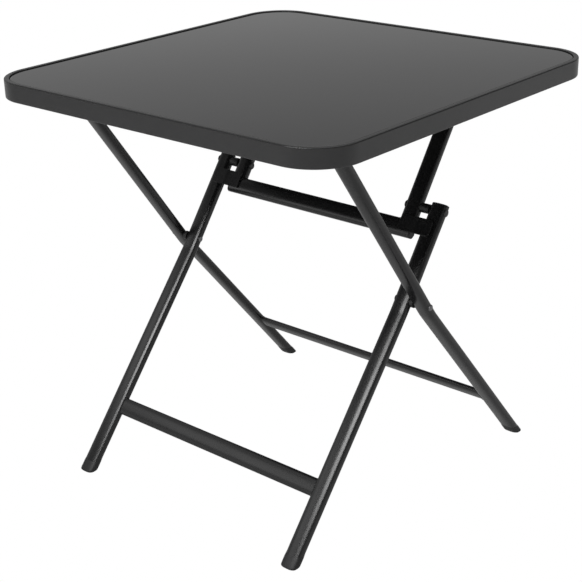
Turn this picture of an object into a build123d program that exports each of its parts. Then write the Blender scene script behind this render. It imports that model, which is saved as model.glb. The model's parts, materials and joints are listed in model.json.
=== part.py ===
from build123d import *
import math
import os

# A square folding table: a glass top in a steel rim, on two pairs of crossed flat-oval legs.
# A swing frame hangs from the far side of the top and locks the inner legs at its knee joints.
# Millimetres. X runs along the crossbars, Y across them, Z up. The origin lies on the floor
# under the middle of the top. Left is -X and right is +X. The outer legs hang from the
# front of the top (-Y), the swing frame from its rear (+Y).

# Whole table
top_size = 700
table_height = 694

# Rim: a roll-formed hollow section, bent round the corners, with a step for the glass
top_corner_radius = 75
rim_height = 30
rim_width = 21
rim_lip_width = 8.5
rim_wall = 1.2
rim_outer_edge_radius = 3
rim_inner_edge_chamfer = 1
rim_lip_edge_chamfer = 0.8
rim_drain_radius = 3
rim_drains = 2

# Glass and its seal
glass_thickness = 5
glass_recess = 1.5
glass_edge_chamfer = 0.8
seal_thickness = 1
seal_ledge_width = 10
seal_below_glass_top = 1.2
seal_fit = 0.1

# Flat-oval tube of the legs and of the swing frame: width along X, depth in the plane of the fold
tube_width = 30
tube_depth = 16
tube_wall = 1.2
leg_bend_radius = 160

# Flatter tube of the two lower crossbars
bar_width = 30
bar_depth = 11
bar_wall = 1.2
weld_gap = 0.1

# Gaps along X, from the rim inwards: to the outer leg, to the inner leg and to the swing arm
rim_to_outer_leg = 42.5
outer_to_inner_leg = 7
inner_leg_to_arm = 17.5

# Side view of the crossed legs at rest, angles from upright. The crossing's height is a share
# of the pivots' height, and the knee's a share of the way from the crossing to the pivots.
cross_y = -16.2
cross_height_share = 0.5379
knee_height_share = 0.413
outer_upper_angle = 35.2
outer_lower_angle = 40.2
inner_upper_angle = 36.6
inner_lower_angle = 40.0
bend_below_cross = 22
pivot_below_rim = 15.5
fold_short_of_flat = 1.1
outer_bar_height = 103
inner_bar_height = 96

# Swing frame
knee_to_swing_bar = 40
knee_to_lug = 19
lug_length = 28
lug_thickness = 3
lug_on_arm = 24
lug_step_start = 1
lug_step_length = 8
lug_over_leg = 20.5
lug_corner_radius = 6
stop_gap = 0.3

# Pivots: weld-in bushes through the tubes, rivets through the bushes
bush_radius = 6
bush_fit = 0.05
rivet_radius = 4
rivet_running_fit = 0.06
hinge_head_radius = 7
hinge_head_height = 2.4
cross_head_radius = 5.5
cross_head_height = 2.4
cross_tail_height = 1.4
knee_head_radius = 6.5
knee_head_height = 1.8
knee_tail_height = 1.2
head_crown_share = 0.65
spacer_radius = 8
side_play = 0.3

# Hinge brackets under the top, on two cross rails
rail_width = 20
rail_height = 15
rail_wall = 1.2
rail_corner_radius = 2
rail_below_glass = 3
bracket_sheet = 2.5
bracket_bend_radius = 1
bracket_ear_radius = 11
bracket_plate_length = 32

# Plastic ends
tube_end_above_pivot = 12
plug_head = 2.5
plug_fit = 0.1
leg_plug_spigot = 3.2
bar_plug_spigot = 12
boot_height = 16
boot_wall = 0.9
boot_floor = 3
boot_fit = 0.1

# How far a cutting shape runs past what it cuts
overrun = 40

# Lanes: distance of each tube's middle from the middle of the table
outer_lane = top_size / 2 - rim_width - rim_to_outer_leg - tube_width / 2
inner_lane = outer_lane - tube_width - outer_to_inner_leg
swing_lane = inner_lane - tube_width - inner_leg_to_arm

# Heights
rim_bottom = table_height - rim_height
glass_bottom = table_height - glass_recess - glass_thickness
ledge_top = glass_bottom - seal_thickness
pivot_height = rim_bottom - pivot_below_rim
rail_bottom = glass_bottom - rail_below_glass - rail_height
cross_height = pivot_height * cross_height_share
knee_height = cross_height + (pivot_height - cross_height) * knee_height_share


def in_side_view(degrees_from_up):
    """A unit vector in the side view, turned from straight up towards the rear."""
    angle = math.radians(degrees_from_up)
    return Vector(0, math.sin(angle), math.cos(angle))


# Pivots, bends and feet of the legs, in the side view
cross_pivot = Vector(0, cross_y, cross_height)
outer_up = in_side_view(-outer_upper_angle)
inner_up = in_side_view(inner_upper_angle)
outer_lower_up = in_side_view(-outer_lower_angle)
inner_lower_up = in_side_view(inner_lower_angle)
leg_pivot = cross_pivot + outer_up * ((pivot_height - cross_height) / outer_up.Z)
knee_pivot = cross_pivot + inner_up * ((knee_height - cross_height) / inner_up.Z)
outer_bend = cross_pivot - outer_up * bend_below_cross
inner_bend = cross_pivot - inner_up * bend_below_cross
outer_foot = outer_bend - outer_lower_up * (outer_bend.Z / outer_lower_up.Z)
inner_foot = inner_bend - inner_lower_up * (inner_bend.Z / inner_lower_up.Z)
outer_bar_centre = outer_foot + outer_lower_up * (outer_bar_height / outer_lower_up.Z)
inner_bar_centre = inner_foot + inner_lower_up * (inner_bar_height / inner_lower_up.Z)

# Folded, the upper outer legs lie just short of flat against the top and the upper inner legs
# lie along them. The swing pivot is as high as the leg pivot and as far from the knee of the
# standing table as from the knee of the folded one, so that one arm serves both.
outer_fold = 90 - outer_upper_angle - fold_short_of_flat
inner_fold = outer_upper_angle + inner_upper_angle
folded_cross = leg_pivot + (cross_pivot - leg_pivot).rotate(Axis.X, outer_fold)
folded_knee = folded_cross + (knee_pivot - cross_pivot).rotate(Axis.X, outer_fold + inner_fold)
knee_travel = folded_knee - knee_pivot
knee_middle = (folded_knee + knee_pivot) * 0.5
swing_pivot = Vector(
    0, knee_middle.Y - knee_travel.Z * (pivot_height - knee_middle.Z) / knee_travel.Y, pivot_height
)
arm_up = (swing_pivot - knee_pivot).normalized()
arm_front = arm_up.rotate(Axis.X, 90)
arm_angle = math.degrees(math.atan2(arm_up.Y, arm_up.Z))
past_straight = inner_upper_angle - arm_angle
folded_arm_up = (swing_pivot - folded_knee).normalized()
swing_fold = arm_angle - math.degrees(math.atan2(folded_arm_up.Y, folded_arm_up.Z))
swing_bar_centre = knee_pivot - arm_up * knee_to_swing_bar
swing_bar_end = swing_lane + tube_width / 2

for label, point in (("leg pivot", leg_pivot), ("cross pivot", cross_pivot), ("knee pivot", knee_pivot),
                     ("swing pivot", swing_pivot), ("inner foot", inner_foot), ("outer foot", outer_foot)):
    print(f"{label:12s} y {point.Y:9.4f}  z {point.Z:9.4f}")
print(f"folds: outer {outer_fold:.4f}, inner {inner_fold:.4f}, swing {swing_fold:.4f}")
print(f"the knee stands {past_straight:.3f} degrees past straight")


def save(builder, name):
    builder.part.label = name
    export_step(builder.part, f"parts/{name}.step")


def save_pair(right, name):
    """Write the right-hand piece and its mirror image on the left."""
    save(right, f"{name}_right")
    with BuildPart() as left:
        mirror(right.part, about=Plane.YZ)
    save(left, f"{name}_left")


def across(point, x, along):
    """The plane across a tube in lane x: its local X is the table's X, its normal is along."""
    return Plane(origin=(x, point.Y, point.Z), x_dir=(1, 0, 0), z_dir=along)


def oval_tube_section(width, depth, wall):
    SlotOverall(width, depth)
    SlotOverall(width - 2 * wall, depth - 2 * wall, mode=Mode.SUBTRACT)


def bore(pivot, x, radius):
    """A round hole along X through whatever the open part has near x."""
    with BuildSketch(Plane.YZ.offset(x - overrun)) as hole:
        with Locations((pivot.Y, pivot.Z)):
            Circle(radius)
    extrude(hole.sketch, amount=2 * overrun, mode=Mode.SUBTRACT)


def ring(pivot, start, end, radius):
    """A bush or spacer round a rivet, from x = start to x = end."""
    with BuildSketch(Plane.YZ.offset(start)) as section:
        with Locations((pivot.Y, pivot.Z)):
            Circle(radius)
            Circle(rivet_radius + rivet_running_fit, mode=Mode.SUBTRACT)
    extrude(section.sketch, amount=end - start)


def rivet(pivot, start, end, inner_head=None, outer_head=None):
    """A rivet from x = start to x = end; a head is a pair of radius and height."""
    base = Plane(origin=(start, pivot.Y, pivot.Z), x_dir=(1, 0, 0), z_dir=(0, 0, 1))
    with BuildSketch(base) as half_profile:
        Rectangle(end - start, rivet_radius, align=(Align.MIN, Align.MIN))
        for x, outward, head in ((0, -1, inner_head), (end - start, 1, outer_head)):
            if head:
                radius, height = head
                with BuildLine():
                    Polyline(
                        (x, 0), (x, radius), (x + outward * height, radius * head_crown_share),
                        (x + outward * height, 0), close=True,
                    )
                make_face()
    revolve(half_profile.sketch, axis=Axis((0, pivot.Y, pivot.Z), (1, 0, 0)))


def bent_leg(x, pivots, top, bend, foot):
    """One leg's tube in lane x: bent once, cut level inside its boot, bored for its bushes."""
    below_foot = foot + (foot - bend).normalized() * overrun
    corners = [(x, point.Y, point.Z) for point in (top, bend, below_foot)]
    with BuildLine() as run:
        FilletPolyline(*corners, radius=leg_bend_radius)
    with BuildSketch(across(top, x, run.line % 0)) as section:
        oval_tube_section(tube_width, tube_depth, tube_wall)
    sweep(section.sketch, path=run.line)
    split(bisect_by=Plane.XY.offset(boot_floor), keep=Keep.TOP)
    for pivot in pivots:
        bore(pivot, x, bush_radius + bush_fit)


def cope(point, x, along, width, depth):
    """Cut the open part to the outside of a tube that it is welded to."""
    with BuildSketch(across(point, x, along)) as outside:
        SlotOverall(width + 2 * weld_gap, depth + 2 * weld_gap)
    extrude(outside.sketch, amount=overrun, both=True, mode=Mode.SUBTRACT)


def lower_crossbar(centre, along, lane):
    with BuildSketch(Plane(origin=centre, x_dir=along, z_dir=(1, 0, 0))) as section:
        oval_tube_section(bar_width, bar_depth, bar_wall)
    extrude(section.sketch, amount=lane - tube_width / 2 + tube_depth / 2, both=True)
    for x in (-lane, lane):
        cope(centre, x, along, tube_width, tube_depth)


def end_plug(seat, spigot):
    """A plug in a tube's end; seat is the plane of the end and faces out of the tube."""
    with BuildSketch(seat) as head:
        SlotOverall(tube_width, tube_depth)
    extrude(head.sketch, amount=plug_head)
    with BuildSketch(seat) as inside:
        around = 2 * (tube_wall + plug_fit)
        SlotOverall(tube_width - around, tube_depth - around)
    extrude(inside.sketch, amount=-spigot)


def foot_boot(x, along, foot):
    """A moulded boot round a leg's end, level at its top and at the floor."""
    inside = 2 * boot_fit
    outside = 2 * (boot_fit + boot_wall)
    low = across(foot - along * overrun, x, along)
    with BuildSketch(low) as sole:
        SlotOverall(tube_width + inside, tube_depth + inside)
    extrude(sole.sketch, amount=2 * overrun)
    split(bisect_by=Plane.XY.offset(boot_floor), keep=Keep.BOTTOM)
    with BuildSketch(low) as sleeve:
        SlotOverall(tube_width + outside, tube_depth + outside)
        SlotOverall(tube_width + inside, tube_depth + inside, mode=Mode.SUBTRACT)
    extrude(sleeve.sketch, amount=2 * overrun)
    split(bisect_by=Plane.XY, keep=Keep.TOP)
    split(bisect_by=Plane.XY.offset(boot_height), keep=Keep.BOTTOM)


def hinge_bracket(pivot, lane):
    """A folded U: its plate lies under a cross rail and its two ears hold a rivet."""
    half_span = tube_width / 2 + side_play + bracket_sheet
    drop = rail_bottom - pivot.Z + bracket_ear_radius
    front = Plane(origin=(lane, pivot.Y, rail_bottom), x_dir=(1, 0, 0), z_dir=(0, -1, 0))
    with BuildSketch(front) as folded_sheet:
        with Locations((0, -drop / 2)):
            Rectangle(2 * half_span, drop)
        with Locations((0, -(drop + bracket_sheet) / 2)):
            Rectangle(2 * (half_span - bracket_sheet), drop - bracket_sheet, mode=Mode.SUBTRACT)
        fillet(vertices().group_by(Axis.Y)[1], radius=bracket_bend_radius)
        fillet(vertices().group_by(Axis.Y)[-1], radius=bracket_bend_radius + bracket_sheet)
    extrude(folded_sheet.sketch, amount=bracket_plate_length / 2, both=True)
    with BuildSketch(Plane.YZ.offset(lane - half_span)) as ear_outline:
        with Locations((pivot.Y, rail_bottom - bracket_sheet / 2)):
            Rectangle(bracket_plate_length, bracket_sheet)
        with Locations((pivot.Y, pivot.Z)):
            Circle(bracket_ear_radius)
        make_hull()
    extrude(ear_outline.sketch, amount=2 * half_span, mode=Mode.INTERSECT)
    bore(pivot, lane, rivet_radius + bush_fit)


def rounded_square(inset):
    side = top_size - 2 * inset
    RectangleRounded(side, side, top_corner_radius - inset)


os.makedirs("parts", exist_ok=True)

# Rim
half_top = top_size / 2
with BuildPart() as top_rim:
    with BuildLine(Plane.XY.offset(rim_bottom)) as rim_run:
        FilletPolyline(
            (-half_top, -half_top), (half_top, -half_top), (half_top, half_top), (-half_top, half_top),
            radius=top_corner_radius, close=True,
        )
    start_direction = rim_run.line % 0
    inward = Vector(0, 0, 1).cross(start_direction)
    with BuildSketch(Plane(origin=rim_run.line @ 0, x_dir=inward, z_dir=start_direction)):
        ledge_up = ledge_top - rim_bottom
        with BuildLine():
            Polyline(
                (0, 0), (0, rim_height), (rim_lip_width, rim_height), (rim_lip_width, ledge_up),
                (rim_width, ledge_up), (rim_width, 0), close=True,
            )
        make_face()
        fillet(vertices().group_by(Axis.X)[0], radius=rim_outer_edge_radius)
        chamfer(vertices().group_by(Axis.X)[-1], length=rim_inner_edge_chamfer)
        chamfer(vertices().group_by(Axis.Y)[-1].sort_by(Axis.X)[-1], length=rim_lip_edge_chamfer)
        with BuildLine():
            Polyline(
                (2 * rim_wall, rim_wall), (rim_wall, 2 * rim_wall), (rim_wall, rim_height - 2 * rim_wall),
                (2 * rim_wall, rim_height - rim_wall), (rim_lip_width - rim_wall, rim_height - rim_wall),
                (rim_lip_width - rim_wall, ledge_up - rim_wall), (rim_width - rim_wall, ledge_up - rim_wall),
                (rim_width - rim_wall, rim_wall), close=True,
            )
        make_face(mode=Mode.SUBTRACT)
    sweep(path=rim_run.line)
    with BuildSketch(Plane.XY.offset(rim_bottom - rim_wall)):
        with PolarLocations(half_top - rim_width / 2, rim_drains, start_angle=90):
            Circle(rim_drain_radius)
    extrude(amount=2 * rim_wall, mode=Mode.SUBTRACT)
save(top_rim, "top_rim")

# Glass, and the seal that it lies on
seal_inset = rim_lip_width + seal_fit
glass_inset = seal_inset + seal_thickness + seal_fit
with BuildPart() as glass_seal:
    with BuildSketch(Plane.XY.offset(ledge_top)):
        rounded_square(seal_inset)
        inner = top_size - 2 * (rim_lip_width + seal_ledge_width)
        RectangleRounded(
            inner, inner, top_corner_radius - rim_lip_width - seal_ledge_width, mode=Mode.SUBTRACT
        )
    extrude(amount=seal_thickness)
    with BuildSketch(Plane.XY.offset(glass_bottom)):
        rounded_square(seal_inset)
        edge = top_size - 2 * (seal_inset + seal_thickness)
        RectangleRounded(
            edge, edge, top_corner_radius - seal_inset - seal_thickness, mode=Mode.SUBTRACT
        )
    extrude(amount=glass_thickness - seal_below_glass_top)
save(glass_seal, "glass_seal")

with BuildPart() as glass_top:
    with BuildSketch(Plane.XY.offset(glass_bottom)):
        rounded_square(glass_inset)
    extrude(amount=glass_thickness)
    chamfer(faces().group_by(Axis.Z)[-1].edges(), length=glass_edge_chamfer)
    chamfer(faces().group_by(Axis.Z)[0].edges(), length=glass_edge_chamfer)
save(glass_top, "glass_top")

# Cross rails, hinge brackets and hinge rivets
for pivot, name in ((leg_pivot, "cross_rail_front"), (swing_pivot, "cross_rail_rear")):
    with BuildPart() as rail:
        with BuildSketch(Plane.YZ):
            with Locations((pivot.Y, rail_bottom + rail_height / 2)):
                RectangleRounded(rail_width, rail_height, rail_corner_radius)
                Rectangle(rail_width - 2 * rail_wall, rail_height - 2 * rail_wall, mode=Mode.SUBTRACT)
        extrude(amount=half_top - rim_width - weld_gap, both=True)
    save(rail, name)

hinge_head = (hinge_head_radius, hinge_head_height)
for pivot, lane, name in ((leg_pivot, outer_lane, "leg"), (swing_pivot, swing_lane, "swing")):
    with BuildPart() as bracket:
        hinge_bracket(pivot, lane)
    save_pair(bracket, f"{name}_bracket")

    ear_outside = tube_width / 2 + side_play + bracket_sheet
    with BuildPart() as hinge_rivets:
        rivet(pivot, lane - ear_outside, lane + ear_outside, hinge_head, hinge_head)
        mirror(about=Plane.YZ)
    save(hinge_rivets, f"{name}_hinge_rivets")

# Outer leg frame
plug_seat_up = tube_end_above_pivot - plug_head
outer_top = leg_pivot + outer_up * plug_seat_up
with BuildPart() as outer_leg:
    bent_leg(outer_lane, (leg_pivot, cross_pivot), outer_top, outer_bend, outer_foot)
save_pair(outer_leg, "outer_leg")

with BuildPart() as outer_crossbar:
    lower_crossbar(outer_bar_centre, outer_lower_up, outer_lane)
save(outer_crossbar, "outer_crossbar")

with BuildPart() as outer_leg_bushes:
    for pivot in (leg_pivot, cross_pivot):
        ring(pivot, outer_lane - tube_width / 2, outer_lane + tube_width / 2, bush_radius)
    mirror(about=Plane.YZ)
save(outer_leg_bushes, "outer_leg_bushes")

with BuildPart() as outer_leg_plugs:
    end_plug(across(outer_top, outer_lane, outer_up), leg_plug_spigot)
    mirror(about=Plane.YZ)
save(outer_leg_plugs, "outer_leg_plugs")

with BuildPart() as outer_foot_boot:
    foot_boot(outer_lane, outer_lower_up, outer_foot)
save_pair(outer_foot_boot, "outer_foot")

inner_leg_outside = inner_lane + tube_width / 2
inner_leg_inside = inner_lane - tube_width / 2
with BuildPart() as cross_spacers:
    ring(cross_pivot, inner_leg_outside + side_play, outer_lane - tube_width / 2, spacer_radius)
    mirror(about=Plane.YZ)
save(cross_spacers, "cross_spacers")

with BuildPart() as cross_rivets:
    rivet(cross_pivot, inner_leg_inside - side_play, outer_lane + tube_width / 2,
          (cross_head_radius, cross_tail_height), (cross_head_radius, cross_head_height))
    mirror(about=Plane.YZ)
save(cross_rivets, "cross_rivets")

# Inner leg frame
inner_top = knee_pivot + inner_up * plug_seat_up
with BuildPart() as inner_leg:
    bent_leg(inner_lane, (knee_pivot, cross_pivot), inner_top, inner_bend, inner_foot)
save_pair(inner_leg, "inner_leg")

with BuildPart() as inner_crossbar:
    lower_crossbar(inner_bar_centre, inner_lower_up, inner_lane)
save(inner_crossbar, "inner_crossbar")

with BuildPart() as inner_leg_bushes:
    for pivot in (knee_pivot, cross_pivot):
        ring(pivot, inner_leg_inside, inner_leg_outside, bush_radius)
    mirror(about=Plane.YZ)
save(inner_leg_bushes, "inner_leg_bushes")

with BuildPart() as inner_leg_plugs:
    end_plug(across(inner_top, inner_lane, inner_up), leg_plug_spigot)
    mirror(about=Plane.YZ)
save(inner_leg_plugs, "inner_leg_plugs")

with BuildPart() as inner_foot_boot:
    foot_boot(inner_lane, inner_lower_up, inner_foot)
save_pair(inner_foot_boot, "inner_foot")

with BuildPart() as knee_rivet_tails:
    rivet(knee_pivot, inner_leg_inside, inner_leg_outside, None, (knee_head_radius, knee_tail_height))
    mirror(about=Plane.YZ)
save(knee_rivet_tails, "knee_rivet_tails")

# Swing frame
arm_top = swing_pivot + arm_up * plug_seat_up
arm_end_to_bar = (tube_width - tube_depth) / 2
with BuildPart() as swing_arm:
    arm_length = (arm_top - swing_bar_centre).length - arm_end_to_bar
    with BuildSketch(across(arm_top, swing_lane, -arm_up)):
        oval_tube_section(tube_width, tube_depth, tube_wall)
    extrude(amount=arm_length)
    with BuildSketch(Plane(origin=swing_bar_centre, x_dir=arm_up, z_dir=(1, 0, 0))):
        SlotOverall(tube_width + 2 * weld_gap, tube_depth + 2 * weld_gap)
    extrude(amount=swing_bar_end + overrun, mode=Mode.SUBTRACT)
    for pivot in (swing_pivot, knee_pivot):
        bore(pivot, swing_lane, bush_radius + bush_fit)
save_pair(swing_arm, "swing_arm")

with BuildPart() as swing_crossbar:
    with BuildSketch(Plane(origin=swing_bar_centre, x_dir=arm_up, z_dir=(1, 0, 0))):
        oval_tube_section(tube_width, tube_depth, tube_wall)
    extrude(amount=swing_bar_end - plug_head, both=True)
save(swing_crossbar, "swing_crossbar")

with BuildPart() as swing_bar_plugs:
    bar_end = swing_bar_centre + Vector(swing_bar_end - plug_head, 0, 0)
    end_plug(Plane(origin=bar_end, x_dir=arm_up, z_dir=(1, 0, 0)), bar_plug_spigot)
    mirror(about=Plane.YZ)
save(swing_bar_plugs, "swing_bar_plugs")

with BuildPart() as swing_arm_plugs:
    end_plug(across(arm_top, swing_lane, arm_up), leg_plug_spigot)
    mirror(about=Plane.YZ)
save(swing_arm_plugs, "swing_arm_plugs")

with BuildPart() as swing_arm_bushes:
    for pivot in (swing_pivot, knee_pivot):
        ring(pivot, swing_lane - tube_width / 2, swing_lane + tube_width / 2, bush_radius)
    mirror(about=Plane.YZ)
save(swing_arm_bushes, "swing_arm_bushes")

# The lug is welded on the arm and the crossbar and steps over the front of the inner leg. The
# leg leans away from the arm, so the step clears the end of the lug where it stands furthest out.
lug_end = knee_to_lug + lug_length
lean = math.sin(math.radians(past_straight))
lug_step = max(knee_to_lug * lean, lug_end * lean) + stop_gap
with BuildPart() as stop_lug:
    lug_plane = Plane(
        origin=knee_pivot - arm_up * lug_end + arm_front * (tube_depth / 2), x_dir=(1, 0, 0), z_dir=arm_up
    )
    with BuildSketch(lug_plane):
        step_from = swing_bar_end + lug_step_start
        step_to = step_from + lug_step_length
        rise = lug_step * lug_plane.y_dir.dot(arm_front)
        sheet = lug_thickness * lug_plane.y_dir.dot(arm_front)
        with BuildLine():
            Polyline(
                (swing_bar_end - lug_on_arm, 0), (step_from, 0), (step_to, rise),
                (inner_leg_inside + lug_over_leg, rise), (inner_leg_inside + lug_over_leg, rise + sheet),
                (step_to, rise + sheet), (step_from, sheet), (swing_bar_end - lug_on_arm, sheet),
                close=True,
            )
        make_face()
    extrude(amount=lug_length)
    fillet(
        edges().filter_by(Axis(lug_plane.origin, arm_front)).group_by(Axis.X)[-1],
        radius=lug_corner_radius,
    )
save_pair(stop_lug, "stop_lug")

with BuildPart() as knee_spacers:
    ring(knee_pivot, swing_bar_end, inner_leg_inside - side_play, spacer_radius)
    mirror(about=Plane.YZ)
save(knee_spacers, "knee_spacers")

with BuildPart() as knee_pins:
    rivet(knee_pivot, swing_lane - tube_width / 2, inner_leg_inside - side_play,
          (knee_head_radius, knee_head_height))
    mirror(about=Plane.YZ)
save(knee_pins, "knee_pins")
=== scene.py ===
import bmesh
import bpy
import json
import math
from mathutils import Matrix, Vector


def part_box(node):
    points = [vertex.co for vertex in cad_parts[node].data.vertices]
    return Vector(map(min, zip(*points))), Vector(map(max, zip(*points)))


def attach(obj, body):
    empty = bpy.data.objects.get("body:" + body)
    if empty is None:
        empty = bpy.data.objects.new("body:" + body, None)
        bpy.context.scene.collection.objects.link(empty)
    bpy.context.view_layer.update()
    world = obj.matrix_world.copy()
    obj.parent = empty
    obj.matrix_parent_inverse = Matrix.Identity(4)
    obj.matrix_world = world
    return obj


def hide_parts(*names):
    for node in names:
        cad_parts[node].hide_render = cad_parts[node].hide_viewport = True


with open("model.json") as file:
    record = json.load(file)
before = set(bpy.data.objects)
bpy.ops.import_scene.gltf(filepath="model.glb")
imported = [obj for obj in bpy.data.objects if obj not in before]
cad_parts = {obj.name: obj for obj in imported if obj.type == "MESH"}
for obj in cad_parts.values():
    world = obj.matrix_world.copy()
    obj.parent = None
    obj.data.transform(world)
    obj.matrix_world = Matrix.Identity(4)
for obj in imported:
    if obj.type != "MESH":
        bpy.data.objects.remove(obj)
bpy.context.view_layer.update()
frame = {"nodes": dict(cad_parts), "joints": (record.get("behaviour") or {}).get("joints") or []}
scene = bpy.context.scene
scene.view_settings.view_transform = "Standard"


# Camera. It looks down on the front right corner of the table, from 2.2 m away and with a long
# lens. Its place was fitted to the photograph together with the sizes of the table.
image_width = 582
focal_length_pixels = 1320.7072
azimuth = math.radians(41.31339)
elevation = math.radians(22.932)
roll = math.radians(-1.46195)
distance = 2.2454116
target = Vector((0.0129527, -0.0367878, 0.3140354))

backwards = Vector((
    math.sin(azimuth) * math.cos(elevation),
    -math.cos(azimuth) * math.cos(elevation),
    math.sin(elevation),
))
level_right = Vector((0, 0, 1)).cross(backwards).normalized()
level_up = backwards.cross(level_right)
camera_right = level_right * math.cos(roll) + level_up * math.sin(roll)
camera_up = level_up * math.cos(roll) - level_right * math.sin(roll)
camera_data = bpy.data.cameras.new("camera")
camera_data.lens = focal_length_pixels * camera_data.sensor_width / image_width
camera = bpy.data.objects.new("camera", camera_data)
turn = Matrix((camera_right, camera_up, backwards)).transposed().to_4x4()
camera.matrix_world = Matrix.Translation(target + backwards * distance) @ turn
scene.collection.objects.link(camera)
scene.camera = camera


# Floor. A pale studio floor. The camera sees it as plain white, as in the photograph, while the
# table's paint mirrors its grey and the shadow on it.
class Wire:
    """One output in a node tree. Arithmetic on it adds Math nodes, and node() adds any other."""

    def __init__(self, tree, socket=None):
        self.tree = tree
        self.socket = socket

    def node(self, kind, settings=None, sockets=None, output=0):
        """Add a node: its settings are set first, then the value or link of each socket."""
        made = self.tree.nodes.new(kind)
        for key, value in (settings or {}).items():
            if key == "stops":
                ramp = made.color_ramp
                while len(ramp.elements) < len(value):
                    ramp.elements.new(0.5)
                for element, (place, colour) in zip(ramp.elements, value):
                    element.position = place
                    element.color = colour
            else:
                setattr(made, key, value)
        for key, value in (sockets or {}).items():
            if isinstance(value, Wire):
                self.tree.links.new(value.socket, made.inputs[key])
            else:
                made.inputs[key].default_value = value
        return Wire(self.tree, made.outputs[output] if made.outputs else None)

    def out(self, name):
        """Another output of the same node."""
        return Wire(self.tree, self.socket.node.outputs[name])

    def math(self, operation, first, second=0.0):
        """A Math node on two values or links."""
        return self.node("ShaderNodeMath", {"operation": operation}, {0: first, 1: second})

    def __add__(self, other):
        return self.math("ADD", self, other)

    def __mul__(self, other):
        return self.math("MULTIPLY", self, other)

    def __sub__(self, other):
        return self.math("SUBTRACT", self, other)

    def __rsub__(self, other):
        return self.math("SUBTRACT", other, self)

    __radd__ = __add__
    __rmul__ = __mul__

    def clamped(self):
        """The value held between 0 and 1."""
        return self.math("MINIMUM", self.math("MAXIMUM", self, 0.0), 1.0)


def new_material(name):
    """An empty material, and where its tree starts."""
    material = bpy.data.materials.new(name)
    material.use_nodes = True
    material.node_tree.nodes.clear()
    return material, Wire(material.node_tree)


def link_object(name, data):
    """A new object in the scene."""
    made = bpy.data.objects.new(name, data)
    scene.collection.objects.link(made)
    return made


floor_reach = 20.0
floor_tone = (0.58, 0.58, 0.58, 1)
white_in_mirrors = 0.2
floor_mesh = bmesh.new()
bmesh.ops.create_grid(floor_mesh, x_segments=1, y_segments=1, size=floor_reach)
floor_data = bpy.data.meshes.new("floor")
floor_mesh.to_mesh(floor_data)
floor_mesh.free()
floor = link_object("floor", floor_data)
floor_paint, start = new_material("studio_floor")
rays = start.node("ShaderNodeLightPath")
mirrored = rays.out("Is Glossy Ray") + rays.out("Is Transmission Ray")
background_seen = (rays.out("Is Camera Ray") + mirrored * white_in_mirrors).clamped()
plain = start.node("ShaderNodeBsdfDiffuse", {}, {"Color": floor_tone})
white = start.node("ShaderNodeEmission", {}, {"Color": (1, 1, 1, 1), "Strength": 1.0})
floor_mix = start.node("ShaderNodeMixShader", {}, {0: background_seen, 1: plain, 2: white})
start.node("ShaderNodeOutputMaterial", {}, {"Surface": floor_mix})
floor_data.materials.append(floor_paint)


# Studio. Pale walls, as the glass shows them, under a brighter ceiling. Soft boxes hang in front
# and above, two strips light only the floor beside the table, and a low card lights the legs.
# how high a direction points, from level to straight up, and the grey seen there
wall_greys = (
    (0.0, 0.35), (0.13, 0.45), (0.17, 0.57), (0.19, 0.52), (0.23, 0.42), (0.30, 0.34), (0.36, 0.28),
    (0.41, 0.23), (0.46, 0.10), (0.62, 0.10), (0.72, 0.50), (0.85, 0.40), (1.0, 0.35),
)
wall_gain = 1.25
front_gain = 0.43
floor_only = 72


def blend(share, first, second):
    """A colour between two others."""
    return share.node("ShaderNodeMix", {"data_type": "RGBA"}, {
        0: share, 6: first, 7: second,
    }, output=2)


world = bpy.data.worlds.new("studio")
world.use_nodes = True
world.node_tree.nodes.clear()
scene.world = world
start = Wire(world.node_tree)
direction = start.node("ShaderNodeTexCoord").out("Generated")
split = start.node("ShaderNodeSeparateXYZ", {}, {0: direction})
bands = start.node("ShaderNodeValToRGB", {
    "stops": [(height, (grey, grey, grey, 1)) for height, grey in wall_greys],
}, {0: split.out("Z")})
from_front = wall_gain - split.out("Y") * front_gain
walls = start.node("ShaderNodeVectorMath", {"operation": "SCALE"}, {
    0: bands, "Scale": from_front,
})
seen = start.node("ShaderNodeLightPath").out("Is Camera Ray")
air = start.node("ShaderNodeBackground", {}, {
    "Color": blend(seen, walls, (1, 1, 1, 1)), "Strength": 1.0,
})
start.node("ShaderNodeOutputWorld", {}, {"Surface": air})


def soft_lamp(name, place, aim, size, power, spread=180):
    """A rectangular lamp, aimed at a point, whose light stays within a spread in degrees."""
    lamp = bpy.data.lights.new(name, "AREA")
    lamp.spread = math.radians(spread)
    lamp.shape = "RECTANGLE"
    lamp.size, lamp.size_y = size
    lamp.energy = power
    stand = link_object(name, lamp)
    stand.location = place
    stand.rotation_euler = (Vector(place) - Vector(aim)).to_track_quat("Z", "Y").to_euler()
    stand.visible_camera = False


soft_lamp("front_softbox", (0.0, -2.4, 2.4), (0, 0, 0.3), (2.0, 0.6), 52)
soft_lamp("right_strip", (2.2, 0.7, 2.2), (2.2, 0.7, 0), (1.0, 5.2), 27, spread=floor_only)
soft_lamp("front_strip", (0.0, -2.3, 2.2), (0.0, -2.3, 0), (4.6, 1.0), 23, spread=floor_only)
soft_lamp("left_card", (-0.80, -0.87, 0.75), (0.0, -0.1, 0.2), (1.2, 0.32), 0.125, spread=48)
soft_lamp("top_softbox", (0, 0.4, 3.2), (0, 0, 0.6), (2.2, 2.2), 20)


# Rim. Roll-formed steel, bent round the four corners, welded at its ends and powder coated dark
# grey. Its outer edges are rounded, its inner half is a ledge that carries the glass, and two
# holes in its underside let water out.
rim_low, rim_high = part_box("top_rim")
half_top = rim_high.x
corner_radius = 0.075
rim_width = 0.021
lip_width = 0.0085
ledge_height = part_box("glass_seal")[0].z


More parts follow.
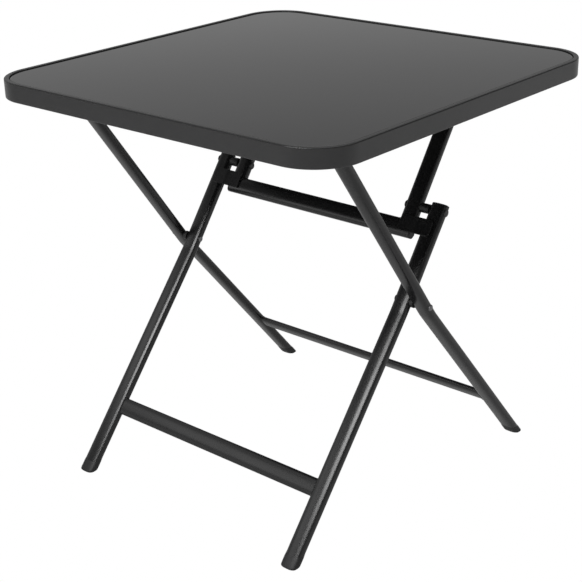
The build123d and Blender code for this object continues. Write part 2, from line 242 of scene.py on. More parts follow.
def rounded_outline(corners, steps=5):
    """A closed outline through corners given as (across, up, radius)."""
    outline = []
    for index, (across, up, radius) in enumerate(corners):
        here = Vector((across, up))
        if not radius:
            outline.append(here)
            continue
        before = (Vector(corners[index - 1][:2]) - here).normalized()
        after = (Vector(corners[(index + 1) % len(corners)][:2]) - here).normalized()
        half_angle = before.angle(after) / 2
        middle = here + (before + after).normalized() * (radius / math.sin(half_angle))
        first = (here + before * (radius / math.tan(half_angle)) - middle).normalized()
        last = (here + after * (radius / math.tan(half_angle)) - middle).normalized()
        turns = (step / steps for step in range(steps + 1))
        outline.extend(middle + first.slerp(last, turn) * radius for turn in turns)
    return outline


def round_the_top(inset, up, steps=20):
    """A loop of points round the table's top, at a distance in from its edge."""
    reach = half_top - corner_radius
    radius = corner_radius - inset
    loop = []
    for quarter, (side_x, side_y) in enumerate(((1, 1), (-1, 1), (-1, -1), (1, -1))):
        for step in range(steps + 1):
            angle = math.pi / 2 * (quarter + step / steps)
            loop.append(Vector((
                side_x * reach + radius * math.cos(angle),
                side_y * reach + radius * math.sin(angle),
                up,
            )))
    return loop


def skin(name, *forms, joined=False):
    """A mesh of closed forms, each a list of loops. If joined, they run on from last to first."""
    shell = bmesh.new()
    for loops in forms:
        rows = [[shell.verts.new(point) for point in loop] for loop in loops]
        for low, high in zip(rows, rows[1:] + rows[:1] if joined else rows[1:]):
            for index in range(len(low)):
                shell.faces.new((low[index - 1], low[index], high[index], high[index - 1]))
        if not joined:
            shell.faces.new(rows[0])
            shell.faces.new(rows[-1])
    bmesh.ops.recalc_face_normals(shell, faces=shell.faces)
    data = bpy.data.meshes.new(name)
    shell.to_mesh(data)
    shell.free()
    return link_object(name, data)


sharp_over = math.radians(32)


def fit(piece, material, body, slot, *nodes):
    """Give a finished piece its material and body, in place of the CAD nodes named. The slot is not
    used.
    """
    piece.data.materials.clear()
    piece.data.materials.append(material)
    piece.data.shade_smooth()
    piece.data.set_sharp_from_angle(angle=sharp_over)
    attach(piece, body)
    if nodes:
        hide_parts(*nodes)


def noise(place, scale, detail, distortion=0.0):
    """Noise over a place, with its scale in waves per metre."""
    return place.node("ShaderNodeTexNoise", {}, {
        "Vector": place, "Scale": scale, "Detail": detail, "Distortion": distortion,
    })


def tinted(share, tone, darkest, palest):
    """A tone that runs from a darker to a paler cast."""
    dark, pale = (
        tuple(channel * cast for channel in tone) + (1,) for cast in (darkest, palest)
    )
    return blend(share, dark, pale)


def bump(height, strength, depth):
    """A surface normal from a height."""
    return height.node("ShaderNodeBump", {}, {
        "Strength": strength, "Distance": depth, "Height": height,
    })


def finish_material(start, sockets):
    """The Principled shader of a material, linked to its output."""
    shader = start.node("ShaderNodeBsdfPrincipled", {}, sockets)
    start.node("ShaderNodeOutputMaterial", {}, {"Surface": shader})


def powder_coat(name, tone, roughness):
    """Baked powder: a fine orange peel, slightly uneven in tone and gloss, with a little dust."""
    material, start = new_material(name)
    place = start.node("ShaderNodeTexCoord").out("Object")
    cloud, grain = noise(place, 14.0, 4.0), noise(place, 420.0, 2.0)
    speck = noise(place, 2400.0, 1.0)
    normal = start.node("ShaderNodeNewGeometry").out("Normal")
    upward = start.node("ShaderNodeSeparateXYZ", {}, {0: normal}).out("Z")
    dust_from, dust_gain, dust_share, dust_dulling = 0.55, 1.6, 0.5, 0.15
    dust = ((upward - dust_from) * dust_gain).clamped() * cloud * dust_share
    unevenness = 0.10
    finish_material(start, {
        "Base Color": tinted((cloud * 0.5 + speck * 0.5 + dust).clamped(), tone, 0.82, 1.22),
        "Roughness": cloud * unevenness + (roughness - unevenness / 2) + dust * dust_dulling,
        "Normal": bump(grain, 0.15, 0.00001),
        "IOR": 1.5,
    })
    return material


frame_paint = powder_coat("powder_coat_grey", (0.007, 0.007, 0.0073), 0.25)
rim_edge = 0.0015
beside_edge = 0.0021  # more points here keep the shading of the side flat
lip_edge = 0.0008
inner_edge = 0.001
rim_profile = rounded_outline([
    (0, rim_low.z, rim_edge), (0, rim_low.z + beside_edge, 0),
    (0, rim_high.z - beside_edge, 0), (0, rim_high.z, rim_edge),
    (lip_width, rim_high.z, lip_edge), (lip_width, ledge_height, 0),
    (rim_width, ledge_height, inner_edge), (rim_width, rim_low.z, inner_edge),
])
rim = skin("steel_rim", [round_the_top(point.x, point.y) for point in rim_profile], joined=True)
drain_radius = 0.003
drain_depth = 0.009
drain_steps = 24
overrun = 0.001


def drill_loop(middle, up):
    """A circle round a drain hole's middle, at a height."""
    angles = (math.tau * step / drain_steps for step in range(drain_steps))
    return [
        middle + Vector((drain_radius * math.cos(angle), drain_radius * math.sin(angle), up))
        for angle in angles
    ]


def evaluated_mesh(piece):
    """The mesh of a piece with its modifiers applied."""
    evaluated = piece.evaluated_get(bpy.context.evaluated_depsgraph_get())
    return bpy.data.meshes.new_from_object(evaluated)


for side in (-1, 1):
    middle = Vector((0, side * (half_top - rim_width / 2), 0))
    drill_ends = (rim_low.z - overrun, rim_low.z + drain_depth)
    drill = skin("drill", [drill_loop(middle, up) for up in drill_ends])
    drain = rim.modifiers.new("drain", "BOOLEAN")
    drain.operation = "DIFFERENCE"
    drain.object = drill
    drilled = evaluated_mesh(rim)
    rim.modifiers.clear()
    rim.data = drilled
    bpy.data.objects.remove(drill)
fit(rim, frame_paint, "top", "frame_steel", "top_rim")


# Glass. One toughened sheet, printed grey underneath, with a ground and polished arris all round.
glass_low, glass_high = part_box("glass_top")
glass_inset = half_top - glass_high.x
arris = 0.0008
polished = arris * 0.3
flat_from = 0.003
sheet_outline = [
    (glass_inset + flat_from, glass_low.z), (glass_inset + arris, glass_low.z),
    (glass_inset, glass_low.z + arris), (glass_inset, glass_high.z - arris),
    (glass_inset + polished, glass_high.z - polished), (glass_inset + arris, glass_high.z),
    (glass_inset + flat_from, glass_high.z),
]
sheet = skin("glass_sheet", [round_the_top(inset, up) for inset, up in sheet_outline])


def printed_glass(name, tone):
    """Polished glass over a grey print, with faint smears that only change its gloss."""
    material, start = new_material(name)
    place = start.node("ShaderNodeTexCoord").out("Object")
    cloud, wave = noise(place, 5.0, 3.0), noise(place, 9.0, 1.0)
    smear = noise(place, 38.0, 5.0, distortion=1.2)
    clean_roughness, smear_roughness = 0.05, 0.05
    finish_material(start, {
        "Base Color": tinted(cloud, tone, 0.94, 1.06),
        "Roughness": smear * smear_roughness + clean_roughness,
        "Normal": bump(wave, 0.2, 0.00005),
        "IOR": 1.5,
    })
    return material


grey_glass = printed_glass("printed_glass", (0.013, 0.013, 0.0133))
fit(sheet, grey_glass, "top", "top_glass", "glass_top")


# Seal. An L-shaped rubber strip: the glass lies on its foot, and its upright fills the gap
# between the glass and the lip of the rim.
seal_low, seal_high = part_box("glass_seal")
seal_inset = half_top - seal_high.x
seal_thickness = 0.001
seal_foot = 0.0099
seal_edge = 0.0004
foot_edge = 0.0003
seal_profile = rounded_outline([
    (seal_inset, seal_low.z, 0),
    (seal_inset, seal_high.z, seal_edge),
    (seal_inset + seal_thickness, seal_high.z, seal_edge),
    (seal_inset + seal_thickness, seal_low.z + seal_thickness, 0),
    (seal_inset + seal_foot, seal_low.z + seal_thickness, foot_edge),
    (seal_inset + seal_foot, seal_low.z, 0),
], steps=3)
seal = skin("rubber_seal", [round_the_top(point.x, point.y) for point in seal_profile], joined=True)


def moulded(name, tone, roughness, texture, depth):
    """Rubber or plastic from a mould: matt, with the fine even texture of the mould's wall."""
    material, start = new_material(name)
    place = start.node("ShaderNodeTexCoord").out("Object")
    flow, pits = noise(place, 60.0, 3.0), noise(place, texture, 2.0)
    unevenness = 0.12
    finish_material(start, {
        "Base Color": tinted(flow, tone, 0.85, 1.3),
        "Roughness": flow * unevenness + (roughness - unevenness / 2),
        "Normal": bump(pits, 0.4, depth),
        "IOR": 1.48,
    })
    return material


rubber = moulded("seal_rubber", (0.012, 0.012, 0.012), 0.75, 1800.0, 0.00003)
fit(seal, rubber, "top", "seal_rubber", "glass_seal")


# Cross rails and hinge brackets. Two rectangular tubes welded across the rim, and four brackets
# folded from 2.5 mm sheet and welded under them. Their cut edges are deburred before painting.
deburred_edge = 0.0003
same_point = 1e-6
flat_within = math.radians(1)
cut_edge_over = math.radians(40)


def deburred(node, name, radius):
    """A copy of a CAD node with small rounded edges."""
    shell = bmesh.new()
    shell.from_mesh(frame["nodes"][node].data)
    bmesh.ops.remove_doubles(shell, verts=shell.verts, dist=same_point)
    bmesh.ops.dissolve_limit(
        shell, angle_limit=flat_within, verts=shell.verts, edges=shell.edges,
    )
    data = bpy.data.meshes.new(name)
    shell.to_mesh(data)
    shell.free()
    piece = link_object(name, data)
    edge = piece.modifiers.new("edge", "BEVEL")
    edge.width = radius
    edge.segments = 2
    edge.limit_method = "ANGLE"
    edge.angle_limit = cut_edge_over
    edge.use_clamp_overlap = True
    return piece


for node in ("cross_rail_front", "cross_rail_rear", "leg_bracket_left", "leg_bracket_right",
             "swing_bracket_left", "swing_bracket_right"):
    fit(deburred(node, f"{node}_piece", deburred_edge), frame_paint, "top", "frame_steel", node)


# Legs. Flat-oval steel tube with slightly crowned flats, as it comes from the rolls, each bent
# once a little below the crossing. The path is two straight runs and a round bend, and its lower
# end stops inside the foot boot.
pivots = {joint["name"]: Vector(joint["pos_m"]) for joint in frame["joints"]}
leg_pivot = pivots["leg_fold"]
cross_pivot = pivots["leg_crossing"]
swing_pivot = pivots["swing_hinge"]
pin_low, pin_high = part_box("knee_pins")
knee_pivot = Vector((0, (pin_low.y + pin_high.y) / 2, (pin_low.z + pin_high.z) / 2))
outer_low, outer_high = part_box("outer_leg_right")
tube_depth = 0.016
tube_width = outer_high.x - outer_low.x
outer_lane = outer_high.x - tube_width / 2
inner_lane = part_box("inner_leg_right")[1].x - tube_width / 2
fullness = 2.8
oval_steps = 64
bend_radius = 0.160
bend_steps = 12
bend_below_cross = 0.022
tube_above_pivot = 0.0095
tube_above_floor = 0.012
outer_lower_angle = math.radians(-40.2)
inner_lower_angle = math.radians(40.0)


def new_tree(name, *inputs):
    """A Geometry Nodes tree with named inputs, given as (name, socket type)."""
    tree = bpy.data.node_groups.new(name, "GeometryNodeTree")
    for label, kind in inputs:
        tree.interface.new_socket(label, in_out="INPUT", socket_type=kind)
    tree.interface.new_socket("Geometry", in_out="OUTPUT", socket_type="NodeSocketGeometry")
    start = Wire(tree)
    return tree, start, start.node("NodeGroupInput")


def together(start, *shapes):
    """One geometry of several shapes."""
    join = start.node("GeometryNodeJoinGeometry")
    for shape in shapes:
        start.tree.links.new(shape.socket, join.socket.node.inputs[0])
    return join


def end_tree(start, shape, material):
    """The end of a tree: its instances made real, and its material set."""
    real = start.node("GeometryNodeRealizeInstances", {}, {0: shape})
    painted = start.node("GeometryNodeSetMaterial", {}, {"Geometry": real, "Material": material})
    start.node("NodeGroupOutput", {}, {0: painted})


def grow(name, tree, data, **values):
    """The plain piece that a tree makes of some data, with its inputs set."""
    seed = link_object(name, data)
    maker = seed.modifiers.new("maker", "NODES")
    maker.node_group = tree
    for item in tree.interface.items_tree:
        if item.in_out == "INPUT" and item.name in values:
            maker[item.identifier] = values[item.name]
    mesh = evaluated_mesh(seed)
    bpy.data.objects.remove(seed)
    mesh.name = name
    return link_object(name, mesh)


leg_tree, start, given = new_tree(
    "bent_oval_tube",
    ("Top", "NodeSocketVector"), ("Bend", "NodeSocketVector"), ("Foot", "NodeSocketVector"),
    ("Bend Radius", "NodeSocketFloat"), ("Width", "NodeSocketFloat"), ("Depth", "NodeSocketFloat"),
    ("Lane", "NodeSocketFloat"),
)
whole = start.node("GeometryNodeCurvePrimitiveLine", {}, {
    "Start": given.out("Top"), "End": given.out("Foot"),
})
three_points = start.node("GeometryNodeResampleCurve", {}, {"Curve": whole, "Count": 3})
second_point = start.node("FunctionNodeCompare", {"data_type": "INT", "operation": "EQUAL"}, {
    "A": start.node("GeometryNodeInputIndex"), "B": 1,
})
cornered = start.node("GeometryNodeSetPosition", {}, {
    "Geometry": three_points, "Selection": second_point, "Position": given.out("Bend"),
})
run = start.node("GeometryNodeFilletCurve", {"mode": "POLY"}, {
    "Curve": cornered, "Count": bend_steps, "Radius": given.out("Bend Radius"),
})
upright = start.node("GeometryNodeSetCurveNormal", {"mode": "Z_UP"}, {"Curve": run})
circle = start.node("GeometryNodeCurvePrimitiveCircle", {}, {
    "Resolution": oval_steps, "Radius": 1.0,
})
on_circle = start.node("ShaderNodeSeparateXYZ", {}, {0: start.node("GeometryNodeInputPosition")})


def flattened(value):
    """One coordinate of a circle, pushed outwards as the rolled section is."""
    size = start.math("POWER", start.math("ABSOLUTE", value), 2 / fullness)
    return start.math("SIGN", value) * size


oval_place = start.node("ShaderNodeCombineXYZ", {}, {
    "X": flattened(on_circle.out("X")) * given.out("Width") * 0.5,
    "Y": flattened(on_circle.out("Y")) * given.out("Depth") * 0.5,
})
oval = start.node("GeometryNodeSetPosition", {}, {"Geometry": circle, "Position": oval_place})
tube = start.node("GeometryNodeCurveToMesh", {}, {
    "Curve": upright, "Profile Curve": oval, "Fill Caps": True,
})
to_right = start.node("ShaderNodeCombineXYZ", {}, {"X": given.out("Lane")})
to_left = start.node("ShaderNodeCombineXYZ", {}, {"X": given.out("Lane") * -1.0})
right_leg, left_leg = (
    start.node("GeometryNodeTransform", {}, {"Geometry": tube, "Translation": way})
    for way in (to_right, to_left)
)
end_tree(start, together(start, right_leg, left_leg), frame_paint)


def leg_points(pivot, lower_angle):
    """A leg's top, bend and foot, and the directions of its upper and its lower run.

    It hangs from pivot and passes the crossing.
    """
    upwards = (pivot - cross_pivot).normalized()
    lower = Vector((0, math.sin(lower_angle), math.cos(lower_angle)))
    bend = cross_pivot - upwards * bend_below_cross
    foot = bend - lower * (bend.z / lower.z)
    return pivot + upwards * tube_above_pivot, bend, foot, upwards, lower


outer_top, outer_bend, outer_foot, outer_up, outer_rise = leg_points(leg_pivot, outer_lower_angle)
inner_top, inner_bend, inner_foot, inner_up, inner_rise = leg_points(knee_pivot, inner_lower_angle)
for name, top, bend, foot, lower, lane in (
    ("outer", outer_top, outer_bend, outer_foot, outer_rise, outer_lane),
    ("inner", inner_top, inner_bend, inner_foot, inner_rise, inner_lane),
):
    legs = grow(f"{name}_legs", leg_tree, bpy.data.meshes.new("seed"), **{
        "Top": top, "Bend": bend, "Foot": foot + lower * tube_above_floor,
        "Bend Radius": bend_radius, "Width": tube_width, "Depth": tube_depth, "Lane": lane,
    })
    fit(legs, frame_paint, f"{name}_frame", "frame_steel", f"{name}_leg_left", f"{name}_leg_right")


# Crossbars. Flatter oval tube, coped to the legs and welded all round at both ends.
bar_width = 0.030
bar_depth = 0.011
outer_bar_height = 0.103
inner_bar_height = 0.096
outer_bar_middle = outer_foot + outer_rise * (outer_bar_height / outer_rise.z)
inner_bar_middle = inner_foot + inner_rise * (inner_bar_height / inner_rise.z)
sideways = Vector((1, 0, 0))


def oval_loop(centre, along, across, width, depth):
    """The outline of an oval tube: width lies along the first direction, depth the second."""
    loop = []
    for step in range(oval_steps):
        angle = math.tau * (step + 0.5) / oval_steps
        wide, deep = (
            math.copysign(abs(part) ** (2 / fullness), part)
            for part in (math.cos(angle), math.sin(angle))
        )
        loop.append(centre + along * (wide * width / 2) + across * (deep * depth / 2))
    return loop


for name, middle, lower, lane in (
    ("outer", outer_bar_middle, outer_rise, outer_lane),
    ("inner", inner_bar_middle, inner_rise, inner_lane),
):
    deep = lower.cross(sideways)
    reach = lane - tube_width / 2 + tube_depth / 2
    ends = [middle + Vector((side * reach, 0, 0)) for side in (-1, 1)]
    bar = skin(f"{name}_bar", [oval_loop(end, lower, deep, bar_width, bar_depth) for end in ends])
    fit(bar, frame_paint, f"{name}_frame", "frame_steel", f"{name}_crossbar")


# Swing frame. Two short arms of the same oval tube hang from the rear brackets. Their lower ends
# are coped and welded to a bar of that tube, which runs across just below the knees.
swing_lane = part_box("swing_arm_right")[1].x - tube_width / 2
arm_up = (swing_pivot - knee_pivot).normalized()
arm_front = arm_up.cross(sideways)
arm_top = swing_pivot + arm_up * tube_above_pivot
knee_to_bar = 0.040
arm_above_bar_middle = 0.007
bar_middle = knee_pivot - arm_up * knee_to_bar
bar_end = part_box("swing_crossbar")[1].x


def at(x, place):
    """A place moved sideways to x."""
    return Vector((x, place.y, place.z))


arm_ends = (arm_top, bar_middle + arm_up * arm_above_bar_middle)
arms = skin("swing_arms", *[
    [oval_loop(at(side * swing_lane, end), sideways, arm_front, tube_width, tube_depth)
     for end in arm_ends]
    for side in (-1, 1)
])
fit(arms, frame_paint, "swing_frame", "frame_steel", "swing_arm_left", "swing_arm_right")
swing_bar = skin("swing_bar", [
    oval_loop(at(side * bar_end, bar_middle), arm_up, arm_front, tube_width, tube_depth)
    for side in (-1, 1)
])
fit(swing_bar, frame_paint, "swing_frame", "frame_steel", "swing_crossbar")


# Stop lugs. Pieces of 3 mm flat steel, pressed with a step and welded on the swing frame. They
# stand over the fronts of the inner legs and stop the knees just past straight.
lug_edge = 0.0004
for node in ("stop_lug_left", "stop_lug_right"):
    lug = deburred(node, f"{node}_piece", lug_edge)
    fit(lug, frame_paint, "swing_frame", "frame_steel", node)


# End plugs. Moulded black caps pushed into the open ends of the tubes. Their heads have a softly
# rounded edge and sit flush on the tube.
plastic = moulded("black_plastic", (0.006, 0.006, 0.0065), 0.50, 2200.0, 0.00003)
plug_head = 0.0025
plug_foot_edge = 0.0003
plug_edge = 0.0009
plug_edge_middle = plug_edge * 0.3
plug_flat = plug_edge + 0.001
# heights above the tube's end, and insets from the tube's outline
plug_steps = (
    (0, plug_foot_edge), (plug_foot_edge, 0), (plug_head - plug_edge, 0),
    (plug_head - plug_edge_middle, plug_edge_middle), (plug_head, plug_edge),
    (plug_head, plug_flat),
)


def plug(seat, outward, wide, deep):
    """The head of a plug: wide and deep are the directions of the oval, outward is its axis."""
    return [
        oval_loop(seat + outward * up, wide, deep, tube_width - 2 * inset, tube_depth - 2 * inset)
        for up, inset in plug_steps
    ]


def plugs(name, body, node, seat, outward, lane):
    """The two plugs in the tops of a pair of tubes."""
    deep = outward.cross(sideways)
    made = skin(name, *[plug(at(side * lane, seat), outward, sideways, deep) for side in (-1, 1)])
    fit(made, plastic, body, "black_plastic", node)


plugs("outer_plugs", "outer_frame", "outer_leg_plugs", outer_top, outer_up, outer_lane)
plugs("inner_plugs", "inner_frame", "inner_leg_plugs", inner_top, inner_up, inner_lane)
plugs("arm_plugs", "swing_frame", "swing_arm_plugs", arm_top, arm_up, swing_lane)
bar_plugs = skin("bar_plugs", *[
    plug(at(side * bar_end, bar_middle), sideways * side, arm_up, arm_front) for side in (-1, 1)
])
fit(bar_plugs, plastic, "swing_frame", "black_plastic", "swing_bar_plugs")


# Foot boots. Soft black boots moulded to the legs' angle, level at the floor and at their tops,
# which taper to a thin lip against the tube.
boot_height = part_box("inner_foot_right")[1].z
boot_wall = 0.0005
sole_edge = 0.0004
boot_taper = 0.004
boot_lip = 0.0003
# heights above the floor, and insets from the tube's outline, outside it where negative
sole_steps = (
    (0, 0.002), (0, sole_edge), (sole_edge, 0), (0.0012, -boot_wall * 0.8), (0.003, -boot_wall),
)
top_steps = (
    (boot_height - boot_taper, -boot_wall), (boot_height, -boot_wall * 0.25),
    (boot_height - boot_lip, boot_lip),
)


def level_loop(x, foot, along, up, inset):
    """A leg's outline, grown by a negative inset, where a level plane at a height cuts it."""
    deep = along.cross(sideways)
    loop = oval_loop(at(x, foot), sideways, deep, tube_width - 2 * inset, tube_depth - 2 * inset)
    return [point + along * ((up - point.z) / along.z) for point in loop]


for frame_name, foot, along, lane in (
    ("outer", outer_foot, outer_rise, outer_lane), ("inner", inner_foot, inner_rise, inner_lane),
):
    for side_name, side in (("left", -1), ("right", 1)):
        boot = skin(f"{frame_name}_boot_{side_name}", [
            level_loop(side * lane, foot, along, up, inset)
            for up, inset in sole_steps + top_steps
        ])
        fit(boot, plastic, f"{frame_name}_frame", "black_plastic", f"{frame_name}_foot_{side_name}")


# Bushes and spacers. Short turned steel bushes are welded through the tubes at each pivot, and
# moulded rings keep the legs and the knees apart.
bush_radius = 0.0055
spacer_radius = 0.008
bore_radius = 0.0041
ring_edge = 0.0004
ring_steps = 32
side_play = 0.0003
outer_inside, outer_outside = outer_lane - tube_width / 2, outer_lane + tube_width / 2
inner_inside, inner_outside = inner_lane - tube_width / 2, inner_lane + tube_width / 2
swing_inside, swing_outside = swing_lane - tube_width / 2, swing_lane + tube_width / 2


def turned(pivot, from_x, to_x, outer, inner):
    """A ring round a pivot, between two places across the table, with its edges broken."""
    profile = rounded_outline([
        (from_x, inner, ring_edge), (from_x, outer, ring_edge),
        (to_x, outer, ring_edge), (to_x, inner, ring_edge),
    ], steps=2)
    form = []
    for point in profile:
        loop = []
        for step in range(ring_steps):
            angle = math.tau * step / ring_steps
            loop.append(Vector((
                point.x,
                pivot.y + point.y * math.cos(angle),
                pivot.z + point.y * math.sin(angle),
            )))
        form.append(loop)
    return form


def rings(name, material, body, slot, node, radius, *spans):
    """The rings of a CAD node: (pivot, from x, to x) on the right, and their mirror images."""
    forms = []
    for pivot, from_x, to_x in spans:
        forms.append(turned(pivot, from_x, to_x, radius, bore_radius))
        forms.append(turned(pivot, -to_x, -from_x, radius, bore_radius))
    fit(skin(name, *forms, joined=True), material, body, slot, node)


for name, frame_name, node, own_pivots, inside, outside in (
    ("outer", "outer", "outer_leg", (leg_pivot, cross_pivot), outer_inside, outer_outside),
    ("inner", "inner", "inner_leg", (knee_pivot, cross_pivot), inner_inside, inner_outside),
    ("arm", "swing", "swing_arm", (knee_pivot, swing_pivot), swing_inside, swing_outside),
):
    rings(f"{name}_bushes", frame_paint, f"{frame_name}_frame", "frame_steel", f"{node}_bushes",
          bush_radius, *[(pivot, inside, outside) for pivot in own_pivots])
rings("crossing_rings", plastic, "outer_frame", "black_plastic", "cross_spacers", spacer_radius,
      (cross_pivot, inner_outside + side_play, outer_inside))
rings("knee_rings", plastic, "swing_frame", "black_plastic", "knee_spacers", spacer_radius,
      (knee_pivot, swing_outside, inner_inside - side_play))


# Rivets. Solid steel rivets with domed heads, closed cold: plated ones at the crossing, painted
# ones elsewhere. Each is drawn as an edge, and a tree puts a dome on each end of its shank.
def plated_steel(name, tone):
    """Dull plating with faint drawing marks and small stains."""
    material, start = new_material(name)
    place = start.node("ShaderNodeTexCoord").out("Object")
    stain, marks = noise(place, 240.0, 4.0), noise(place, 1500.0, 2.0)
    clean_roughness, stain_roughness = 0.28, 0.2
    finish_material(start, {
        "Base Color": tinted(stain, tone, 0.7, 1.25),
        "Metallic": 0.9,
        "Roughness": stain * stain_roughness + clean_roughness,
        "Normal": bump(marks, 0.2, 0.00002),
    })
    return material


shank_radius = 0.004
head_around = 24
head_up = 6
head_sweep = math.radians(84)
head_fullness = 0.75
rivet_tree, start, given = new_tree(
    "rivet", ("Geometry", "NodeSocketGeometry"), ("Shank Radius", "NodeSocketFloat"),
    ("Around", "NodeSocketInt"), ("Up", "NodeSocketInt"),
)
centre_lines = start.node("GeometryNodeMeshToCurve", {}, {0: given.out("Geometry")})
circle = start.node("GeometryNodeCurvePrimitiveCircle", {}, {
    "Resolution": given.out("Around"), "Radius": given.out("Shank Radius"),
})
shanks = start.node("GeometryNodeCurveToMesh", {}, {
    "Curve": centre_lines, "Profile Curve": circle, "Fill Caps": True,
})
blank = start.node("GeometryNodeMeshCylinder", {"fill_type": "NGON"}, {
    "Vertices": given.out("Around"), "Side Segments": given.out("Up"), "Radius": 1.0, "Depth": 1.0,
})
split = start.node("ShaderNodeSeparateXYZ", {}, {0: start.node("GeometryNodeInputPosition")})
rise = (split.out("Z") + 0.5) * head_sweep
reach_out = start.math("POWER", start.math("COSINE", rise), head_fullness)
dome_place = start.node("ShaderNodeCombineXYZ", {}, {
    "X": reach_out * split.out("X"), "Y": reach_out * split.out("Y"), "Z": start.math("SINE", rise),
})
dome = start.node("GeometryNodeSetPosition", {}, {"Geometry": blank, "Position": dome_place})
outward, head_size = (
    start.node("GeometryNodeInputNamedAttribute", {"data_type": "FLOAT_VECTOR"}, {"Name": key})
    for key in ("outward", "head_size")
)
facing = start.node("FunctionNodeAlignRotationToVector", {"axis": "Z"}, {"Vector": outward})
heads = start.node("GeometryNodeInstanceOnPoints", {}, {
    "Points": given.out("Geometry"), "Instance": dome, "Rotation": facing, "Scale": head_size,
})
end_tree(start, together(start, shanks, heads), frame_paint)


def rivets(name, material, body, slot, node, *drawn):
    """Rivets given as (pivot, from x, to x, head, head), and a head as (radius, height)."""
    points, edges, outwards, sizes = [], [], [], []
    for pivot, from_x, to_x, from_head, to_head in drawn:
        for side in (1, -1):
            edges.append((len(points), len(points) + 1))
            for x, way, (radius, tall) in ((from_x, -1, from_head), (to_x, 1, to_head)):
                points.append(at(side * x, pivot))
                outwards.append((side * way, 0, 0))
                sizes.append((radius, radius, tall))
    seed = bpy.data.meshes.new("seed")
    seed.from_pydata(points, edges, [])
    for key, rows in (("outward", outwards), ("head_size", sizes)):
        layer = seed.attributes.new(key, "FLOAT_VECTOR", "POINT")
        for index, row in enumerate(rows):
            layer.data[index].vector = row
    made = grow(name, rivet_tree, seed, **{
        "Shank Radius": shank_radius, "Around": head_around, "Up": head_up,
    })
    fit(made, material, body, slot, node)


ear_thickness = 0.0025
ear_outside = tube_width / 2 + side_play + ear_thickness
hinge_head = (0.007, 0.0024)
crossing_head = (0.0052, 0.0022)
crossing_tail = (0.0048, 0.0006)
knee_head = (0.0065, 0.0018)
knee_tail = (0.0065, 0.0012)
plain_end = (0.003, 0.0001)
plating = plated_steel("plated_steel", (0.20, 0.20, 0.205))
rivets("leg_rivets", frame_paint, "top", "rivet_steel", "leg_hinge_rivets",
       (leg_pivot, outer_lane - ear_outside, outer_lane + ear_outside, hinge_head, hinge_head))
rivets("swing_rivets", frame_paint, "top", "rivet_steel", "swing_hinge_rivets",
       (swing_pivot, swing_lane - ear_outside, swing_lane + ear_outside, hinge_head, hinge_head))
rivets("crossing_rivets", plating, "outer_frame", "rivet_steel", "cross_rivets",
       (cross_pivot, inner_inside - side_play, outer_outside, crossing_tail, crossing_head))
rivets("knee_rivets", frame_paint, "swing_frame", "rivet_steel", "knee_pins",
       (knee_pivot, swing_inside, inner_inside - side_play, knee_head, plain_end))
rivets("knee_tails", frame_paint, "inner_frame", "rivet_steel", "knee_rivet_tails",
       (knee_pivot, inner_inside, inner_outside, plain_end, knee_tail))


# Welds. Short-stepped beads laid by hand round every joint and painted over. A tree lays
# overlapping drops of metal along each path, each a little smaller or larger than the last.
bead_radius = 0.0013
thin_bead_radius = 0.0012
bead_step = 0.9
bead_around = 8
bead_rings = 5
smallest_drop = 0.88
largest_drop = 1.08
weld_seed = 7
weld_tree, start, given = new_tree(
    "weld_bead", ("Geometry", "NodeSocketGeometry"), ("Step", "NodeSocketFloat"),
    ("Bead Radius", "NodeSocketFloat"), ("Seed", "NodeSocketInt"),
)
paths = start.node("GeometryNodeMeshToCurve", {}, {0: given.out("Geometry")})
drops_at = start.node("GeometryNodeCurveToPoints", {"mode": "LENGTH"}, {
    "Curve": paths, "Length": given.out("Step"),
})
drop = start.node("GeometryNodeMeshUVSphere", {}, {
    "Segments": bead_around, "Rings": bead_rings, "Radius": given.out("Bead Radius"),
})
drop_size = start.node("FunctionNodeRandomValue", {"data_type": "FLOAT"}, {
    "Min": smallest_drop, "Max": largest_drop, "Seed": given.out("Seed"),
}).out("Value")
every_way = start.node("ShaderNodeCombineXYZ", {}, {"X": drop_size, "Y": drop_size, "Z": drop_size})
beads = start.node("GeometryNodeInstanceOnPoints", {}, {
    "Points": drops_at, "Instance": drop, "Rotation": drops_at.out("Rotation"), "Scale": every_way,
})
end_tree(start, beads, frame_paint)


def welds(name, body, radius, *paths_drawn):
    """Beads of one radius along paths, each a list of points."""
    points, edges = [], []
    for path in paths_drawn:
        first = len(points)
        points.extend(path)
        edges.extend((first + step, first + step + 1) for step in range(len(path) - 1))
    seed = bpy.data.meshes.new("seed")
    seed.from_pydata(points, edges, [])
    made = grow(name, weld_tree, seed, **{
        "Step": radius * bead_step, "Bead Radius": radius, "Seed": weld_seed,
    })
    fit(made, frame_paint, body, "frame_steel")


def nose(offset):
    """How far the round side of an oval tube reaches past the start of its rounding."""
    return math.sqrt(max((tube_depth / 2) ** 2 - offset ** 2, 0.0))


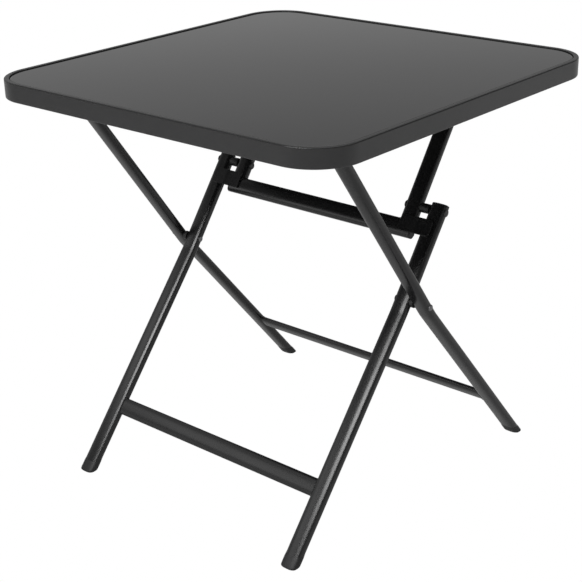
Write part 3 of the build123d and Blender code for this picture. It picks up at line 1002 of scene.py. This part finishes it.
def crossbar_weld(centre, along, side, lane):
    """Where a lower crossbar meets the round inner side of a leg."""
    deep = along.cross(sideways)
    path = oval_loop(at(0, centre), along, deep, bar_width, bar_depth)
    path.append(path[0])
    for point in path:
        offset = (point - at(0, centre)).dot(deep)
        point.x = side * (lane - tube_width / 2 + tube_depth / 2 - nose(offset))
    return path


for name, middle, lower, lane in (
    ("outer", outer_bar_middle, outer_rise, outer_lane),
    ("inner", inner_bar_middle, inner_rise, inner_lane),
):
    welds(f"{name}_bar_welds", f"{name}_frame", bead_radius, *[
        crossbar_weld(middle, lower, side, lane) for side in (-1, 1)
    ])


def arm_weld(side):
    """Where an arm's coped end meets the round upper side of the swing frame's bar."""
    path = oval_loop(at(side * swing_lane, bar_middle), sideways, arm_front, tube_width, tube_depth)
    path.append(path[0])
    flat_half = tube_width / 2 - tube_depth / 2
    return [
        point + arm_up * (flat_half + nose((point - bar_middle).dot(arm_front))) for point in path
    ]


lug_edges_below_knee = (0.019, 0.047)
lug_ends = (swing_lane - 0.007, swing_lane + 0.013)
lug_bead_out = tube_depth / 2 + 0.0004


def lug_welds(side):
    """Straight beads along the lug's upper and lower edges."""
    return [
        [at(side * x, knee_pivot - arm_up * below + arm_front * lug_bead_out) for x in lug_ends]
        for below in lug_edges_below_knee
    ]


welds("swing_welds", "swing_frame", bead_radius, *[arm_weld(side) for side in (-1, 1)],
      *lug_welds(1), *lug_welds(-1))

rail_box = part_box("cross_rail_front")
rail_low, rail_high, rail_end = rail_box[0].z, rail_box[1].z, rail_box[1].x
rail_half = 0.010
rail_corner = 0.001
below_rim = 0.002
bracket_half = 0.016
rail_outline = (
    (-rail_half, rail_high - below_rim), (-rail_half, rail_low + rail_corner),
    (-rail_half + rail_corner, rail_low), (rail_half - rail_corner, rail_low),
    (rail_half, rail_low + rail_corner), (rail_half, rail_high - below_rim),
)
top_paths = []
for pivot, lane in ((leg_pivot, outer_lane), (swing_pivot, swing_lane)):
    for side in (-1, 1):
        for edge in (-rail_half, rail_half):
            top_paths.append([
                Vector((side * lane + x, pivot.y + edge, rail_low))
                for x in (-bracket_half, bracket_half)
            ])
        top_paths.append([
            Vector((side * rail_end, pivot.y + across, up)) for across, up in rail_outline
        ])
welds("top_welds", "top", thin_bead_radius, *top_paths)
